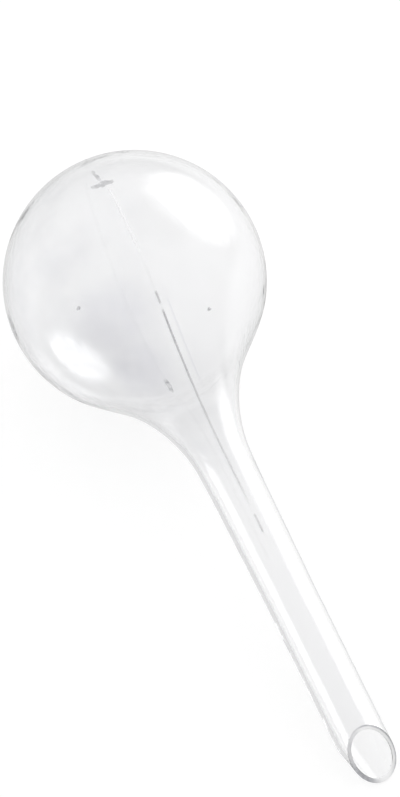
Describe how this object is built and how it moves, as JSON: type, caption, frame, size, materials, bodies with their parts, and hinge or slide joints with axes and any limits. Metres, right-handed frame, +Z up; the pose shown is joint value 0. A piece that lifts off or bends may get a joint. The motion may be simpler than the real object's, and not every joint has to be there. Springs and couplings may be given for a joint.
{
  "type": "watering globe",
  "caption": "Clear blown plant-watering globe: a round hollow reservoir on a smooth shoulder and a long tubular stem with a slant-cut open mouth that is pushed into the soil.",
  "frame": {"origin": "on the globe's axis at the soil line, where the straight stretch of the stem begins; the crown is up and the open mouth is down, as the globe stands in a pot", "axes": "+Z up along the axis from the mouth towards the crown; the two mould halves met on the YZ plane, with the front seam at -Y, and +X completes a right-handed frame"},
  "size_m": [0.08, 0.0808, 0.232],
  "materials": {
    "clear_shell": "clear, glossy, slightly uneven blown wall",
    "clear_marks": "clear raised moulding line or scar, glossy"
  },
  "bodies": {
    "root": {"globe_right_half": "clear_shell", "globe_left_half": "clear_shell", "shoulder": "clear_shell", "stem_upper": "clear_shell", "stem_lower": "clear_shell", "stem_mouth": "clear_shell", "seam_front": "clear_marks", "seam_rear": "clear_marks", "pinch_scar_bar": "clear_marks", "pinch_scar_tail": "clear_marks", "pip_left": "clear_marks", "pip_right": "clear_marks"}
  },
  "joints": []
}
